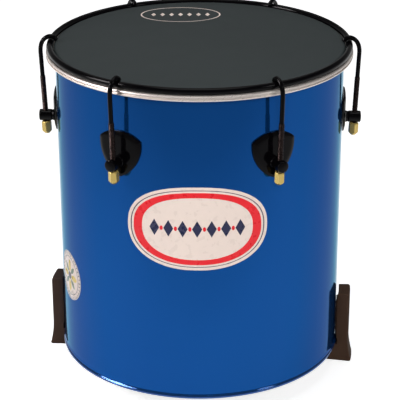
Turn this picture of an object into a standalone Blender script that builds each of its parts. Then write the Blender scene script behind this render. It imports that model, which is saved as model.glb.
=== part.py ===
"""Hand samba drum: a metal shell with one head, held by six hook rods, on two rubber feet.

Metres, +Z up. The origin is on the drum's axis at the soles of the feet.
The front of the drum faces -Y. A bearing is counted from the front towards +X.
"""

import math

import bmesh
import bpy
from mathutils import Matrix, Vector

MM = 0.001

# Shell
SHELL_RADIUS = 137.5 * MM
SHELL_HEIGHT = 308.0 * MM
SHELL_WALL = 1.5 * MM
BEAD_RADIUS = 1.9 * MM
BEAD_STAND_OUT = 1.6 * MM
BEAD_BLEND = 1.0 * MM
EDGE_ROUND = 1.5 * MM
RIM_ABOVE_SOLE = 18.0 * MM

# Head and the ring that grips its edge
HEAD_THICKNESS = 0.8 * MM
HEAD_COLLAR_DEPTH = 7.2 * MM
HEAD_FLANGE_WIDTH = 2.2 * MM
FLESH_HOOP_OVERHANG = 8.3 * MM
FLESH_HOOP_HEIGHT = 5.3 * MM
FLESH_HOOP_DROP = 3.9 * MM
FLESH_HOOP_ROUND = 1.6 * MM

# Rod ring that the hooks pull down
COUNTER_HOOP_ROD = 6.4 * MM
COUNTER_HOOP_CLEARANCE = 0.3 * MM

# Lugs
LUG_COUNT = 6
FIRST_LUG_BEARING = 28.65
POST_DROP = 73.9 * MM

# Plate of a lug: a shield of four arcs with round corners, placed from the post's centre
PLATE_WIDTH = 43.4 * MM
PLATE_TOP_ABOVE_POST = 28.8 * MM
PLATE_WIDEST_ABOVE_POST = 17.0 * MM
PLATE_TOP_RADIUS = 32.0 * MM
PLATE_SIDE_RADIUS = 35.0 * MM
PLATE_SHOULDER_ROUND = 3.0 * MM
PLATE_TIP_ROUND = 4.0 * MM
PLATE_THICKNESS = 2.7 * MM
PLATE_BEVEL_WIDTH = 4.0 * MM
PLATE_BEVEL_DEPTH = 1.0 * MM
PLATE_EDGE_BREAK = 0.4 * MM

# Post of a lug
POST_DIAMETER = 11.2 * MM
POST_LENGTH = 15.2 * MM
POST_END_ROUND = 1.0 * MM
POST_END_DOME = 0.6 * MM
POST_TAP_DEPTH = 3.6 * MM

# Hook rod
ROD_WIRE = 4.3 * MM
ROD_THREAD = 5.4 * MM
ROD_THREAD_ABOVE_POST = 40.4 * MM
ROD_THREAD_RUN_OUT = 0.5 * MM
ROD_OUT_AT_POST = 11.8 * MM
ROD_OUT_AT_TOP = 14.4 * MM
ROD_BEND_DROP = 10.5 * MM
ROD_END_ROUND = 0.6 * MM
HOOK_CLEARANCE = 0.4 * MM
HOOK_BEND_START = 9.0 * MM
HOOK_BEND_END = 5.4 * MM
HOOK_BEND_ANGLE = 72.0
HOOK_TIP_ANGLE = 150.0

# Nut under a post, and how far each one happens to be turned
NUT_ACROSS_FLATS = 8.6 * MM
NUT_LENGTH = 12.4 * MM
NUT_FLOOR = 1.2 * MM
NUT_TOP_CHAMFER_WIDTH = 1.4 * MM
NUT_TOP_CHAMFER_HEIGHT = 1.4 * MM
NUT_END_CHAMFER_WIDTH = 2.2 * MM
NUT_END_CHAMFER_HEIGHT = 2.6 * MM
NUT_TURNS = (-6.0, 12.0, 3.0, -20.0, -8.0, 33.0)

# Screws and washers inside the shell
SCREW_DIAMETER = 5.0 * MM
SCREW_HEAD_DIAMETER = 9.0 * MM
SCREW_HEAD_HEIGHT = 2.8 * MM
SCREW_CROWN_DIAMETER = 5.0 * MM
SCREW_HEAD_EDGE = 1.2 * MM
WASHER_DIAMETER = 13.0 * MM
WASHER_THICKNESS = 1.2 * MM

# Feet
FOOT_BEARINGS = {"right": 83.0, "left": -98.0}
FOOT_WIDTH = 23.5 * MM
FOOT_STAND_OFF = 2.4 * MM
FOOT_OUTER = 13.8 * MM
FOOT_RISE = 56.5 * MM
FOOT_FLARE = 3.6 * MM
FOOT_FLARE_HEIGHT = 25.0 * MM
FOOT_TOP_ROUND = 2.4 * MM
FOOT_SOLE_ROUND = 1.2 * MM
FOOT_END_ROUND = 1.2 * MM
FOOT_NOTCH_DEPTH = 1.1 * MM
FOOT_NOTCH_HEIGHT = 6.0 * MM
FOOT_LIP_THICKNESS = 7.0 * MM
FOOT_LIP_RISE = 6.0 * MM
FOOT_PAD_WIDTH = 15.0 * MM
FOOT_PAD_LOW = 8.0 * MM
FOOT_PAD_HIGH = 47.0 * MM
FOOT_SCREW_HEIGHTS = (17.0 * MM, 38.0 * MM)
FOOT_SCREW_GRIP = 9.0 * MM

# Clearances between neighbours
GAP = 0.3 * MM
HOLE_CLEARANCE = 0.3 * MM

# Facets
BIG_STEPS = 64
SMALL_STEPS = 10
POST_STEPS = 16
NUT_STEPS = 18
ROD_SIDES = 8
PLATE_STRIPS = 6
FOOT_STEPS = 4

# Heights and radii that follow from the sizes above
RIM_Z = RIM_ABOVE_SOLE
EDGE_Z = RIM_Z + SHELL_HEIGHT
HEAD_Z = EDGE_Z + GAP + HEAD_THICKNESS
SHELL_INNER = SHELL_RADIUS - SHELL_WALL
COLLAR_INNER = SHELL_RADIUS + GAP
COLLAR_OUTER = COLLAR_INNER + HEAD_THICKNESS
FLANGE_OUTER = COLLAR_OUTER + HEAD_FLANGE_WIDTH
FLANGE_LOW_Z = HEAD_Z - HEAD_COLLAR_DEPTH
FLESH_OUTER = SHELL_RADIUS + FLESH_HOOP_OVERHANG
FLESH_INNER = COLLAR_OUTER + GAP
FLESH_TOP_Z = HEAD_Z - FLESH_HOOP_DROP
FLESH_LOW_Z = FLESH_TOP_Z - FLESH_HOOP_HEIGHT
HOOP_RADIUS = COLLAR_OUTER + COUNTER_HOOP_CLEARANCE + COUNTER_HOOP_ROD / 2
HOOP_Z = FLESH_TOP_Z + GAP + COUNTER_HOOP_ROD / 2
PLATE_BACK = SHELL_RADIUS + GAP
PLATE_FRONT = PLATE_BACK + PLATE_THICKNESS
POST_BACK = PLATE_FRONT + GAP
POST_Z = HEAD_Z - POST_DROP
ROD_POST_RADIUS = SHELL_RADIUS + ROD_OUT_AT_POST
ROD_TOP_RADIUS = SHELL_RADIUS + ROD_OUT_AT_TOP
ROD_TOP_Z = HEAD_Z - ROD_BEND_DROP
LEAN = math.atan2(ROD_TOP_RADIUS - ROD_POST_RADIUS, ROD_TOP_Z - POST_Z)
NUT_TOP = -(POST_DIAMETER / 2 + GAP) / math.cos(LEAN)
SCREW_HOLE_RADIUS = SCREW_DIAMETER / 2 + HOLE_CLEARANCE
ROD_HOLE_RADIUS = ROD_THREAD / 2 + HOLE_CLEARANCE
RADIAL = (0.0, math.pi / 2, 0.0)


def clear_scene():
    for obj in list(bpy.data.objects):
        bpy.data.objects.remove(obj, do_unlink=True)


def material(name, colour, roughness, metallic):
    mat = bpy.data.materials.new(name)
    mat.use_nodes = True
    shader = mat.node_tree.nodes["Principled BSDF"]
    shader.inputs["Base Color"].default_value = (*colour, 1.0)
    shader.inputs["Roughness"].default_value = roughness
    shader.inputs["Metallic"].default_value = metallic
    return mat


def link(name, mesh, mat=None):
    """Put a mesh in the scene under a name, and give it a material if it has none yet."""
    obj = bpy.data.objects.new(name, mesh)
    bpy.context.scene.collection.objects.link(obj)
    if mat and not mesh.materials:
        mesh.materials.append(mat)
    return obj


def smooth(mesh, angle=35):
    """Shade a mesh smooth, with sharp edges where faces meet at more than an angle in degrees."""
    mesh.shade_smooth()
    mesh.set_sharp_from_angle(angle=math.radians(angle))
    return mesh


def finish_mesh(mesh, bm):
    bmesh.ops.remove_doubles(bm, verts=bm.verts, dist=1e-6)
    bmesh.ops.recalc_face_normals(bm, faces=bm.faces)
    bm.to_mesh(mesh)
    bm.free()
    return smooth(mesh)


def turn(name, rings, closed):
    """Join rings round Z, each an angle and its closed profile of (radius, height) points.

    An open turn gets its first and last profile as end faces.
    """
    bm = bmesh.new()
    loops = []
    for angle, profile in rings:
        loops.append([bm.verts.new((r * math.cos(angle), r * math.sin(angle), z)) for r, z in profile])
    size = len(loops[0])
    followers = loops[1:] + loops[:1] if closed else loops[1:]
    for here, there in zip(loops, followers):
        for i in range(size):
            j = (i + 1) % size
            bm.faces.new((here[i], there[i], there[j], here[j]))
    if not closed:
        bm.faces.new(loops[0])
        bm.faces.new(loops[-1])
    return finish_mesh(bpy.data.meshes.new(name), bm)


def lathe(name, profile, steps):
    """Carry a closed profile of (radius, height) points all round Z."""
    return turn(name, [(2 * math.pi * step / steps, profile) for step in range(steps)], True)


def arc_points(centre, radius, first, last, count):
    """Points on an arc, from the first angle to the last, in degrees."""
    points = []
    for i in range(count + 1):
        angle = math.radians(first + (last - first) * i / count)
        points.append((centre[0] + radius * math.cos(angle), centre[1] + radius * math.sin(angle)))
    return points


def heading(start, end):
    """Direction from one point to another, in degrees from +X."""
    return math.degrees(math.atan2(end[1] - start[1], end[0] - start[0]))


def solid_rod(radius, low, high, steps, name):
    """A plain round bar along Z."""
    return lathe(name, [(0, low), (radius, low), (radius, high), (0, high)], steps)


def as_tool(name, mesh, matrix):
    """An object that only shapes others: seen as wires and left out of renders."""
    obj = bpy.data.objects.new(name, mesh)
    bpy.context.scene.collection.objects.link(obj)
    obj.matrix_world = matrix
    obj.display_type = "WIRE"
    obj.hide_render = True
    return obj


def drill(name, radius, length, matrix):
    """A round bar that cuts a hole, centred where the matrix puts it."""
    return as_tool(name, solid_rod(radius, -length / 2, length / 2, SMALL_STEPS, name), matrix)


def shape(obj, tools, operation="DIFFERENCE"):
    """Cut, cross or join an object with its tools, and keep the result as its mesh."""
    for tool in tools:
        boolean = obj.modifiers.new(tool.name, "BOOLEAN")
        boolean.operation = operation
        boolean.solver = "EXACT"
        boolean.object = tool
    bpy.context.view_layer.update()
    graph = bpy.context.evaluated_depsgraph_get()
    result = bpy.data.meshes.new_from_object(obj.evaluated_get(graph))
    obj.modifiers.clear()
    obj.data = smooth(result)
    for tool in tools:
        bpy.data.objects.remove(tool, do_unlink=True)


def take_mesh(obj, angle=35):
    """Keep an object's mesh for its copies, and remove the object."""
    mesh = obj.data
    bpy.data.objects.remove(obj, do_unlink=True)
    return smooth(mesh, angle)


def empty_at(name, bearing):
    """An empty on the drum's axis whose +X points out along a bearing."""
    frame = bpy.data.objects.new(name, None)
    bpy.context.scene.collection.objects.link(frame)
    frame.rotation_euler = (0, 0, math.radians(bearing - 90))
    return frame


def place_in(frame, obj, location, rotation=(0, 0, 0)):
    obj.parent = frame
    obj.location = location
    obj.rotation_euler = rotation


def through_wall(bearing, height):
    """Matrix of a bar that lies along the radius, with its middle in the shell's wall."""
    turned = Matrix.Rotation(math.radians(bearing - 90), 4, "Z")
    return turned @ Matrix.Translation((SHELL_RADIUS, 0, height)) @ Matrix.Rotation(math.pi / 2, 4, "Y")


def lug_bearings():
    return [FIRST_LUG_BEARING + 360 / LUG_COUNT * i for i in range(LUG_COUNT)]


# Shell: a straight sheet tube with a rolled bead at the bottom and a rounded bearing edge
def make_shell(mat):
    bead = (SHELL_RADIUS + BEAD_STAND_OUT - BEAD_RADIUS, RIM_Z + BEAD_RADIUS)
    corner = (SHELL_RADIUS - EDGE_ROUND, EDGE_Z - EDGE_ROUND)
    profile = [(SHELL_INNER, RIM_Z)]
    profile += arc_points(bead, BEAD_RADIUS, -90, 60, 4)
    profile += [(SHELL_RADIUS, bead[1] + BEAD_RADIUS + BEAD_BLEND)]
    profile += arc_points(corner, EDGE_ROUND, 0, 80, 2)
    profile += [(SHELL_INNER, EDGE_Z)]
    obj = link("shell", lathe("shell", profile, BIG_STEPS), mat)
    reach = 8 * SHELL_WALL
    tools = [drill("lug_hole", SCREW_HOLE_RADIUS, reach, through_wall(b, POST_Z)) for b in lug_bearings()]
    for bearing in FOOT_BEARINGS.values():
        for height in FOOT_SCREW_HEIGHTS:
            place = through_wall(bearing, RIM_Z + height)
            tools.append(drill("foot_hole", SCREW_HOLE_RADIUS, reach, place))
    shape(obj, tools)


# Head: a skin over the bearing edge, with a collar and a flange held in the flesh hoop
def make_head(mat):
    corner = (SHELL_RADIUS - EDGE_ROUND, EDGE_Z - EDGE_ROUND)
    inside = EDGE_ROUND + GAP
    profile = [(0, EDGE_Z + GAP)]
    profile += arc_points(corner, inside, 90, 0, 2)
    profile += [(COLLAR_INNER, FLANGE_LOW_Z), (FLANGE_OUTER, FLANGE_LOW_Z)]
    profile += [(FLANGE_OUTER, FLANGE_LOW_Z + HEAD_THICKNESS)]
    profile += [(COLLAR_OUTER, FLANGE_LOW_Z + HEAD_THICKNESS)]
    profile += arc_points(corner, inside + HEAD_THICKNESS, 0, 90, 3)
    profile += [(0, HEAD_Z)]
    link("head_membrane", lathe("head_membrane", profile, BIG_STEPS), mat)


# Flesh hoop: a pressed ring with a groove inside that grips the head's flange
def make_flesh_hoop(mat):
    groove_low = FLANGE_LOW_Z - GAP
    groove_top = FLANGE_LOW_Z + HEAD_THICKNESS + GAP
    groove_out = FLANGE_OUTER + GAP
    corner = FLESH_HOOP_ROUND
    profile = [(FLESH_INNER, FLESH_LOW_Z)]
    profile += arc_points((FLESH_OUTER - corner, FLESH_LOW_Z + corner), corner, -90, 0, 2)
    profile += arc_points((FLESH_OUTER - corner, FLESH_TOP_Z - corner), corner, 0, 90, 2)
    profile += [(FLESH_INNER, FLESH_TOP_Z), (FLESH_INNER, groove_top), (groove_out, groove_top)]
    profile += [(groove_out, groove_low), (FLESH_INNER, groove_low)]
    link("flesh_hoop", lathe("flesh_hoop", profile, BIG_STEPS), mat)


# Counter hoop: a round steel rod bent to a ring, on top of the flesh hoop
def make_counter_hoop(mat):
    sides = 8
    profile = arc_points((HOOP_RADIUS, HOOP_Z), COUNTER_HOOP_ROD / 2, -90, 270 - 360 / sides, sides - 1)
    link("counter_hoop", lathe("counter_hoop", profile, BIG_STEPS), mat)


def crossing(first, first_radius, second, second_radius):
    """Where two circles cross, on the right-hand side of the way from the first centre to the second."""
    way = second - first
    span = way.length
    along = (first_radius ** 2 - second_radius ** 2 + span ** 2) / (2 * span)
    aside = math.sqrt(first_radius ** 2 - along ** 2)
    ahead = way / span
    return first + ahead * along + Vector((ahead.y, -ahead.x)) * aside


def plate_outline(inset):
    """Shield outline of (across, up) points round the post's centre, drawn in by an inset.

    A low arc on top and one long arc on each side meet in a round tip and two round shoulders.
    A corner's centre lies where the arcs cross after they are drawn in by the corner's radius.
    """
    tip_round = max(PLATE_TIP_ROUND - inset, PLATE_EDGE_BREAK)
    shoulder_round = max(PLATE_SHOULDER_ROUND - inset, PLATE_EDGE_BREAK)
    top_radius = PLATE_TOP_RADIUS - inset
    side_radius = PLATE_SIDE_RADIUS - inset
    top = Vector((0, PLATE_TOP_ABOVE_POST - PLATE_TOP_RADIUS))
    right = Vector((PLATE_WIDTH / 2 - PLATE_SIDE_RADIUS, PLATE_WIDEST_ABOVE_POST))
    left = Vector((-right.x, right.y))
    tip = crossing(right, side_radius - tip_round, left, side_radius - tip_round)
    shoulder = crossing(top, top_radius - shoulder_round, right, side_radius - shoulder_round)
    from_tip, to_shoulder = heading(right, tip), heading(right, shoulder)
    over_shoulder = heading(top, shoulder)
    half = arc_points(tip, tip_round, -90, from_tip, 2)
    half += arc_points(right, side_radius, from_tip, to_shoulder, 6)[1:]
    half += arc_points(shoulder, shoulder_round, to_shoulder, over_shoulder, 3)[1:]
    half += arc_points(top, top_radius, over_shoulder, 90, 3)[1:]
    return half + [(-across, up) for across, up in half[-2:0:-1]]


def make_plate_mesh():
    """Plate of a lug: a bevelled shield, drawn flat, cut into strips and bent to the shell."""
    bm = bmesh.new()
    edge = PLATE_THICKNESS - PLATE_BEVEL_DEPTH
    levels = [(0, 0), (0, edge - PLATE_EDGE_BREAK), (PLATE_EDGE_BREAK, edge)]
    levels.append((PLATE_BEVEL_WIDTH, PLATE_THICKNESS))
    loops = [[bm.verts.new((x, y, depth)) for x, y in plate_outline(inset)] for inset, depth in levels]
    bm.faces.new(loops[0])
    bm.faces.new(loops[-1])
    for under, over in zip(loops, loops[1:]):
        for i in range(len(under)):
            j = (i + 1) % len(under)
            bm.faces.new((under[i], under[j], over[j], over[i]))
    for strip in range(1, PLATE_STRIPS):
        across = PLATE_WIDTH * (strip / PLATE_STRIPS - 0.5)
        everything = bm.verts[:] + bm.edges[:] + bm.faces[:]
        bmesh.ops.bisect_plane(bm, geom=everything, plane_co=(across, 0, 0), plane_no=(1, 0, 0))
    for vert in bm.verts:
        across, up, depth = vert.co
        angle = across / SHELL_RADIUS
        radius = PLATE_BACK + depth
        vert.co = (radius * math.cos(angle), radius * math.sin(angle), POST_Z + up)
    blank = link("plate_blank", finish_mesh(bpy.data.meshes.new("lug_plate"), bm))
    hole = Matrix.Translation((PLATE_BACK, 0, POST_Z)) @ Matrix.Rotation(math.pi / 2, 4, "Y")
    shape(blank, [drill("plate_hole", SCREW_HOLE_RADIUS, 6 * PLATE_THICKNESS, hole)])
    return take_mesh(blank, 12)


def make_post_mesh():
    """Post of a lug, along its own Z: tapped at the back, domed in front, cross-bored for the rod."""
    radius = POST_DIAMETER / 2
    corner = POST_END_ROUND
    edge = radius - corner
    shoulder = POST_LENGTH - POST_END_DOME
    dome = (edge ** 2 + POST_END_DOME ** 2) / (2 * POST_END_DOME)
    slope = math.degrees(math.asin(edge / dome))
    profile = [(0, 0), (radius, 0)]
    profile += arc_points((edge, shoulder - corner), corner, 0, 90 - slope, 2)
    profile += arc_points((0, POST_LENGTH - dome), dome, 90 - slope, 90, 2)[1:]
    obj = link("post_blank", lathe("lug_post", profile, POST_STEPS))
    across = Matrix.Translation((0, 0, ROD_POST_RADIUS - POST_BACK))
    across = across @ Matrix.Rotation(math.pi / 2 + LEAN, 4, "Y")
    shape(obj, [
        drill("rod_bore", ROD_HOLE_RADIUS, 3 * POST_DIAMETER, across),
        drill("screw_tap", SCREW_HOLE_RADIUS, 2 * POST_TAP_DEPTH, Matrix.Identity(4)),
    ])
    return take_mesh(obj)


def rod_axis(distance):
    """Radius and height of a point on a rod's leaning axis, counted up from the post's centre."""
    return (ROD_POST_RADIUS + distance * math.sin(LEAN), POST_Z + distance * math.cos(LEAN))


def rod_path():
    """Radius, height and half thickness along a hook rod, from its lower end to its tip.

    The rod runs straight to the bend, swings over the ring on a smooth curve of four control
    points, and then keeps its distance from the ring's centre up to the tip.
    """
    wire = ROD_WIRE / 2
    thread = ROD_THREAD / 2
    low = NUT_TOP - NUT_LENGTH + NUT_FLOOR + GAP
    path = [(*rod_axis(low), thread - ROD_END_ROUND), (*rod_axis(low + ROD_END_ROUND), thread)]
    path += [(*rod_axis(0), thread), (*rod_axis(ROD_THREAD_ABOVE_POST), thread)]
    path += [(*rod_axis(ROD_THREAD_ABOVE_POST + ROD_THREAD_RUN_OUT), wire)]
    ring = Vector((HOOP_RADIUS, HOOP_Z))
    around = COUNTER_HOOP_ROD / 2 + wire + HOOK_CLEARANCE
    first = math.radians(HOOK_BEND_ANGLE)
    bend = Vector((ROD_TOP_RADIUS, ROD_TOP_Z))
    over = ring + Vector((math.cos(first), math.sin(first))) * around
    up = Vector((math.sin(LEAN), math.cos(LEAN)))
    out = Vector((math.sin(first), -math.cos(first)))
    controls = (bend, bend + up * HOOK_BEND_START, over + out * HOOK_BEND_END, over)
    steps = 7
    for i in range(steps):
        t = i / steps
        weights = ((1 - t) ** 3, 3 * t * (1 - t) ** 2, 3 * t * t * (1 - t), t ** 3)
        point = sum((p * w for p, w in zip(controls, weights)), Vector((0, 0)))
        path.append((point.x, point.y, wire))
    path += [(r, z, wire) for r, z in arc_points(ring, around, HOOK_BEND_ANGLE, HOOK_TIP_ANGLE, 4)]
    past = HOOK_TIP_ANGLE + math.degrees(ROD_END_ROUND / around)
    path.append((*arc_points(ring, around, past, past, 1)[0], wire - ROD_END_ROUND))
    return path


def make_rod_mesh():
    """Hook rod as a bevelled curve with filled ends, about its own axis."""
    curve = bpy.data.curves.new("tension_rod", "CURVE")
    curve.dimensions = "3D"
    curve.bevel_depth = 1.0
    curve.bevel_resolution = (ROD_SIDES - 4) // 2
    curve.use_fill_caps = True
    path = rod_path()
    spline = curve.splines.new("POLY")
    spline.points.add(len(path) - 1)
    back = Matrix.Rotation(-LEAN, 3, "Y")
    for point, (radius, height, thick) in zip(spline.points, path):
        place = back @ Vector((radius - ROD_POST_RADIUS, 0, height - POST_Z))
        point.co = (*place, 1)
        point.radius = thick
    holder = bpy.data.objects.new("rod_curve", curve)
    bpy.context.scene.collection.objects.link(holder)
    bpy.context.view_layer.update()
    graph = bpy.context.evaluated_depsgraph_get()
    mesh = bpy.data.meshes.new_from_object(holder.evaluated_get(graph))
    bpy.data.objects.remove(holder, do_unlink=True)
    bm = bmesh.new()
    bm.from_mesh(mesh)
    return finish_mesh(mesh, bm)


def make_nut_mesh():
    """Long hexagon nut, hanging down from its top face, with a bore closed at the bottom.

    A hexagon bar is crossed with a turned blank, whose cones leave curved chamfers on the flats.
    """
    corner = NUT_ACROSS_FLATS / math.sqrt(3)
    low = -NUT_LENGTH
    bar = link("nut_bar", solid_rod(corner, 2 * low, NUT_LENGTH, 6, "tension_nut"))
    profile = [(0, low), (corner - NUT_END_CHAMFER_WIDTH, low), (corner, low + NUT_END_CHAMFER_HEIGHT)]
    profile += [(corner, -NUT_TOP_CHAMFER_HEIGHT), (corner - NUT_TOP_CHAMFER_WIDTH, 0), (0, 0)]
    half_step = Matrix.Rotation(math.pi / NUT_STEPS, 4, "Z")
    blank = as_tool("nut_blank", lathe("nut_blank", profile, NUT_STEPS), half_step)
    shape(bar, [blank], "INTERSECT")
    depth = NUT_LENGTH - NUT_FLOOR
    shape(bar, [drill("nut_bore", ROD_HOLE_RADIUS, 2 * depth, Matrix.Identity(4))])
    return take_mesh(bar, 20)


def screw_mesh(name, shank):
    """Round-headed screw along Z: the head under zero, the shank above."""
    profile = [(0, -SCREW_HEAD_HEIGHT), (SCREW_CROWN_DIAMETER / 2, -SCREW_HEAD_HEIGHT)]
    profile += [(SCREW_HEAD_DIAMETER / 2, -SCREW_HEAD_EDGE), (SCREW_HEAD_DIAMETER / 2, 0)]
    profile += [(SCREW_DIAMETER / 2, 0), (SCREW_DIAMETER / 2, shank), (0, shank)]
    return lathe(name, profile, SMALL_STEPS)


def washer_mesh(name):
    hole = SCREW_HOLE_RADIUS
    rim = WASHER_DIAMETER / 2
    return lathe(name, [(hole, 0), (rim, 0), (rim, WASHER_THICKNESS), (hole, WASHER_THICKNESS)], SMALL_STEPS)


def washer_face():
    """Radius of a flat washer's outer face, where its rim clears the round wall inside."""
    edge = WASHER_DIAMETER / 2
    return math.sqrt(SHELL_INNER ** 2 - edge ** 2) - GAP


def washer_seat():
    return washer_face() - WASHER_THICKNESS


def screw_seat():
    return washer_seat() - GAP


# Lugs: plate, post, hook rod, nut, and the screw and washer that hold them from inside
def make_lugs(mats):
    plate = make_plate_mesh()
    post = make_post_mesh()
    rod = make_rod_mesh()
    nut = make_nut_mesh()
    washer = washer_mesh("lug_washer")
    screw = screw_mesh("lug_screw", POST_BACK + POST_TAP_DEPTH - GAP - screw_seat())
    nut_r, nut_z = rod_axis(NUT_TOP)
    for i, bearing in enumerate(lug_bearings(), start=1):
        frame = empty_at(f"lug_frame_{i}", bearing)
        place_in(frame, link(f"lug_plate_{i}", plate, mats["black"]), (0, 0, 0))
        place_in(frame, link(f"lug_post_{i}", post, mats["black"]), (POST_BACK, 0, POST_Z), RADIAL)
        centre = (ROD_POST_RADIUS, 0, POST_Z)
        place_in(frame, link(f"tension_rod_{i}", rod, mats["black"]), centre, (0, LEAN, 0))
        nut_obj = link(f"tension_nut_{i}", nut, mats["brass"])
        place_in(frame, nut_obj, (nut_r, 0, nut_z))
        turned = math.radians(NUT_TURNS[(i - 1) % len(NUT_TURNS)])
        nut_obj.rotation_euler = (Matrix.Rotation(LEAN, 3, "Y") @ Matrix.Rotation(turned, 3, "Z")).to_euler()
        place_in(frame, link(f"lug_washer_{i}", washer, mats["steel"]), (washer_seat(), 0, POST_Z), RADIAL)
        place_in(frame, link(f"lug_screw_{i}", screw, mats["steel"]), (screw_seat(), 0, POST_Z), RADIAL)


def foot_profile(trim):
    """Radius and height round a foot: flared leg, rounded top, bead notch, rim seat and inner lip.

    The trim draws in the outer face, the top and the sole's edge, which rounds the foot's ends.
    """
    outer = SHELL_RADIUS + FOOT_OUTER - trim
    toe = outer + FOOT_FLARE
    top = RIM_Z + FOOT_RISE - trim
    leg = SHELL_RADIUS + FOOT_STAND_OFF
    notch = leg + FOOT_NOTCH_DEPTH
    notch_top = RIM_Z + FOOT_NOTCH_HEIGHT
    lip_out = SHELL_INNER - GAP
    lip_in = lip_out - FOOT_LIP_THICKNESS
    lip_top = RIM_Z + FOOT_LIP_RISE
    sole_corner = (toe - FOOT_SOLE_ROUND, FOOT_SOLE_ROUND)
    top_corner = (outer - FOOT_TOP_ROUND, top - FOOT_TOP_ROUND)
    profile = [(lip_in, 0)]
    profile += arc_points(sole_corner, FOOT_SOLE_ROUND, -90, 0, 2)
    for share in (0.35, 0.7, 1.0):
        profile.append((toe - FOOT_FLARE * math.sin(share * math.pi / 2), FOOT_FLARE_HEIGHT * share))
    profile += arc_points(top_corner, FOOT_TOP_ROUND, 0, 90, 3)
    profile += [(leg, top), (leg, notch_top + FOOT_NOTCH_DEPTH), (notch, notch_top)]
    profile += [(notch, RIM_Z - GAP), (lip_out, RIM_Z - GAP), (lip_out, lip_top), (lip_in, lip_top)]
    return profile


def make_foot_mesh():
    """Foot about the drum's axis, facing +X, with a raised pad that fills the gap to the shell."""
    half = math.asin(FOOT_WIDTH / 2 / SHELL_RADIUS)
    rounding = FOOT_END_ROUND / SHELL_RADIUS
    full = foot_profile(0)
    ends = foot_profile(FOOT_END_ROUND)
    rings = [(-half, ends)]
    for step in range(FOOT_STEPS + 1):
        rings.append(((half - rounding) * (2 * step / FOOT_STEPS - 1), full))
    rings.append((half, ends))
    obj = link("foot_blank", turn("foot", rings, False))
    pad_half = math.asin(FOOT_PAD_WIDTH / 2 / SHELL_RADIUS)
    pad_in = SHELL_RADIUS + GAP
    pad_out = SHELL_RADIUS + (FOOT_STAND_OFF + FOOT_OUTER) / 2
    low = RIM_Z + FOOT_PAD_LOW
    high = RIM_Z + FOOT_PAD_HIGH
    pad_profile = [(pad_in, low), (pad_out, low), (pad_out, high), (pad_in, high)]
    pad_rings = [(pad_half * (2 * step / FOOT_STEPS - 1), pad_profile) for step in range(FOOT_STEPS + 1)]
    shape(obj, [as_tool("foot_pad", turn("foot_pad", pad_rings, False), Matrix.Identity(4))], "UNION")
    holes = [through_wall(90, RIM_Z + height) for height in FOOT_SCREW_HEIGHTS]
    shape(obj, [drill("grip_hole", SCREW_HOLE_RADIUS, 2 * FOOT_SCREW_GRIP, place) for place in holes])
    return take_mesh(obj, 30)


# Feet: rubber blocks that grip the rim, each with two screws and washers from inside
def make_feet(mats):
    foot = make_foot_mesh()
    washer = washer_mesh("foot_washer")
    screw = screw_mesh("foot_screw", SHELL_RADIUS + FOOT_SCREW_GRIP - GAP - screw_seat())
    for side, bearing in FOOT_BEARINGS.items():
        frame = empty_at(f"foot_frame_{side}", bearing)
        place_in(frame, link(f"foot_{side}", foot, mats["rubber"]), (0, 0, 0))
        for number, height in enumerate(FOOT_SCREW_HEIGHTS, start=1):
            level = RIM_Z + height
            washer_obj = link(f"foot_washer_{side}_{number}", washer, mats["steel"])
            place_in(frame, washer_obj, (washer_seat(), 0, level), RADIAL)
            screw_obj = link(f"foot_screw_{side}_{number}", screw, mats["steel"])
            place_in(frame, screw_obj, (screw_seat(), 0, level), RADIAL)


def main():
    clear_scene()
    mats = {
        "blue": material("blue lacquer", (0.012, 0.075, 0.30), 0.22, 0.3),
        "head": material("charcoal head", (0.045, 0.052, 0.056), 0.75, 0.0),
        "silver": material("satin aluminium", (0.72, 0.69, 0.66), 0.35, 1.0),
        "black": material("black chrome", (0.02, 0.02, 0.022), 0.2, 0.8),
        "brass": material("brass", (0.72, 0.55, 0.18), 0.28, 1.0),
        "steel": material("zinc steel", (0.6, 0.6, 0.62), 0.35, 1.0),
        "rubber": material("brown rubber", (0.045, 0.032, 0.027), 0.85, 0.0),
    }
    make_shell(mats["blue"])
    make_head(mats["head"])
    make_flesh_hoop(mats["silver"])
    make_counter_hoop(mats["black"])
    make_lugs(mats)
    make_feet(mats)


main()
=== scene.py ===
"""Looks of a single-headed hand samba drum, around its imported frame."""

import math

import bmesh
import bpy
import numpy as np
from mathutils import Matrix, Vector


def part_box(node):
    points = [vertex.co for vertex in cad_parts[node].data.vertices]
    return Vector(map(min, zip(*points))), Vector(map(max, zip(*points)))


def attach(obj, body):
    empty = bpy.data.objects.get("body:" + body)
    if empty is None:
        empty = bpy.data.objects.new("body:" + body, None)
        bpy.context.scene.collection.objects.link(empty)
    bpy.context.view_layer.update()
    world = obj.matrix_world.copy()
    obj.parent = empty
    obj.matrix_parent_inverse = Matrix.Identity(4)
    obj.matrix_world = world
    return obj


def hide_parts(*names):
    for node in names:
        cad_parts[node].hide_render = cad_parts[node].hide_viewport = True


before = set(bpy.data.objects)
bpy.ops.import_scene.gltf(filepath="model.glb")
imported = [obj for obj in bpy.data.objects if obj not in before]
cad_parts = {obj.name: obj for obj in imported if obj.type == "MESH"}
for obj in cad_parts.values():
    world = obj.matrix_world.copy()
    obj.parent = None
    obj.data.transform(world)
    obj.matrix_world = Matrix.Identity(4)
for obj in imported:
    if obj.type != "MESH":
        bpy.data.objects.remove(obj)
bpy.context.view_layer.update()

bl_info = {
    "name": "Hand Samba Drum",
    "version": (1, 1, 0),
    "blender": (4, 5, 0),
    "location": "View3D > Sidebar > Drum",
    "description": "Builds the visible surfaces of a single-headed hand drum",
    "category": "Object",
}

MM = 0.001
SHELL_LOW, SHELL_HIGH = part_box("shell")
HEAD_LOW, HEAD_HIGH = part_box("head_membrane")
FLESH_LOW, FLESH_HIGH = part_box("flesh_hoop")
HOOP_LOW, HOOP_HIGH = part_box("counter_hoop")

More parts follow.
